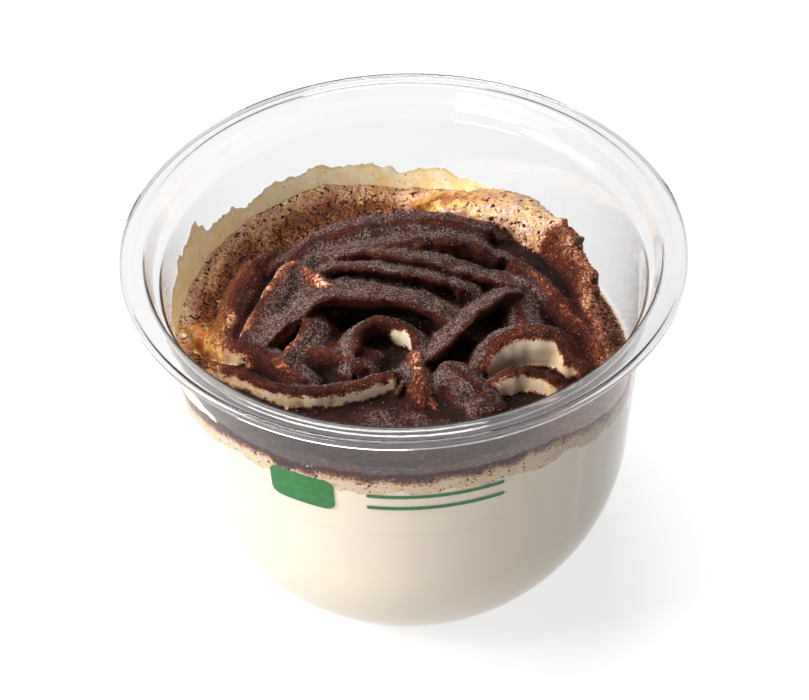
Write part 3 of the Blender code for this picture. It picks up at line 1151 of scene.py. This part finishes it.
def make_flake():
    """A dark flake of chocolate that stands on the right of the cream's edge."""
    bm = bmesh.new()
    bmesh.ops.create_cube(bm, size=1.0)
    bmesh.ops.subdivide_edges(bm, edges=bm.edges, cuts=4, use_grid_fill=True)
    places = np.array([v.co for v in bm.verts])
    shape = places * (2.4, 0.7, 3.0)
    shape += 0.3 * np.stack([bumps(shape, 1.6, SEED + n) for n in (51, 52, 53)], 1)
    turn = Matrix.Rotation(0.5, 3, "Z") @ Matrix.Rotation(0.45, 3, "Y")
    for vertex, place in zip(bm.verts, shape):
        vertex.co = (turn @ Vector(place) + Vector((37.5, 19.0, RIM_TOP - 18.0))) * MM
    mesh = bpy.data.meshes.new("chocolate_flake")
    bm.to_mesh(mesh)
    bm.free()
    looks = Looks("dark_chocolate")
    tone = looks.noise(0.9, 3.0)
    looks.set(
        Base_Color=looks.mix(tone, (0.08, 0.035, 0.02), (0.2, 0.1, 0.06)),
        Roughness=looks.blend(tone, 0.35, 0.7),
    )
    mesh.materials.append(looks.material)
    flake = bpy.data.objects.new("chocolate_flake", mesh)
    bpy.context.scene.collection.objects.link(flake)
    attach(flake, "root")


# ---------------------------------------------------------------- surroundings


def make_floor():
    half = 1500.0
    corners = [(-half, -half, 0), (half, -half, 0), (half, half, 0), (-half, half, 0)]
    floor = object_from("floor", corners, [(0, 1, 2, 3)], pale_floor())


def area_light(name, place, aim, size, power):
    """A soft square light at a place in millimetres, turned to its aim."""
    lamp = bpy.data.lights.new(name, "AREA")
    lamp.shape = "RECTANGLE"
    lamp.size = size[0] * MM
    lamp.size_y = size[1] * MM
    lamp.energy = power
    thing = bpy.data.objects.new(name, lamp)
    thing.location = Vector(place) * MM
    thing.rotation_euler = (Vector(aim) - Vector(place)).to_track_quat("-Z", "Y").to_euler()
    bpy.context.scene.collection.objects.link(thing)
    return thing


def make_lights():
    world = bpy.data.worlds.new("studio")
    world.use_nodes = True
    nodes = world.node_tree.nodes
    bounced = nodes.new("ShaderNodeLightPath").outputs["Is Diffuse Ray"]
    strength = nodes.new("ShaderNodeMapRange")
    strength.inputs["To Min"].default_value = 0.45
    strength.inputs["To Max"].default_value = 0.09
    world.node_tree.links.new(bounced, strength.inputs["Value"])
    world.node_tree.links.new(strength.outputs["Result"], nodes["Background"].inputs["Strength"])
    nodes["Background"].inputs["Color"].default_value = (1.0, 1.0, 1.0, 1.0)
    bpy.context.scene.world = world
    middle = (0.0, 0.0, 50.0)
    area_light("key", (-1200.0, -300.0, 900.0), middle, (550.0, 550.0), 27.0)
    area_light("top", (-150.0, 400.0, 1400.0), middle, (700.0, 500.0), 17.5)
    area_light("front", (-750.0, -950.0, 150.0), middle, (600.0, 300.0), 7.5)


def make_camera():
    """The camera stands in front and looks down into the tub, turned a little about its own axis."""
    distance = 500.0
    rise = math.radians(40.41)
    roll = math.radians(-1.69)
    place = Vector((0.0, -distance * math.cos(rise), RIM_TOP + distance * math.sin(rise)))
    aim = Vector((-0.35, 0.0, RIM_TOP - 30.3))
    ahead = (aim - place).normalized()
    level = ahead.cross(Vector((0.0, 0.0, 1.0))).normalized()
    up = level.cross(ahead)
    right = level * math.cos(roll) + up * math.sin(roll)
    up = right.cross(ahead)
    turn = Matrix((right, up, -ahead)).transposed().to_4x4()
    lens = bpy.data.cameras.new("camera")
    lens.lens = 108.15
    lens.sensor_width = 36.0
    lens.clip_start = 0.01
    camera = bpy.data.objects.new("camera", lens)
    camera.matrix_world = Matrix.Translation(place * MM) @ turn
    bpy.context.scene.collection.objects.link(camera)
    bpy.context.scene.camera = camera


def main():
    scene = bpy.context.scene
    scene.view_settings.view_transform = "Standard"
    make_camera()
    make_lights()
    make_floor()
    make_tub()
    cream = fill_cream()
    make_fill(cream)
    swirl = make_swirl(cream)
    scatter("cocoa_grains", swirl, cocoa_grain(), 130.0, 0.16, 0.07, SEED + 41)
    make_smear()
    make_print()
    make_flake()


main()
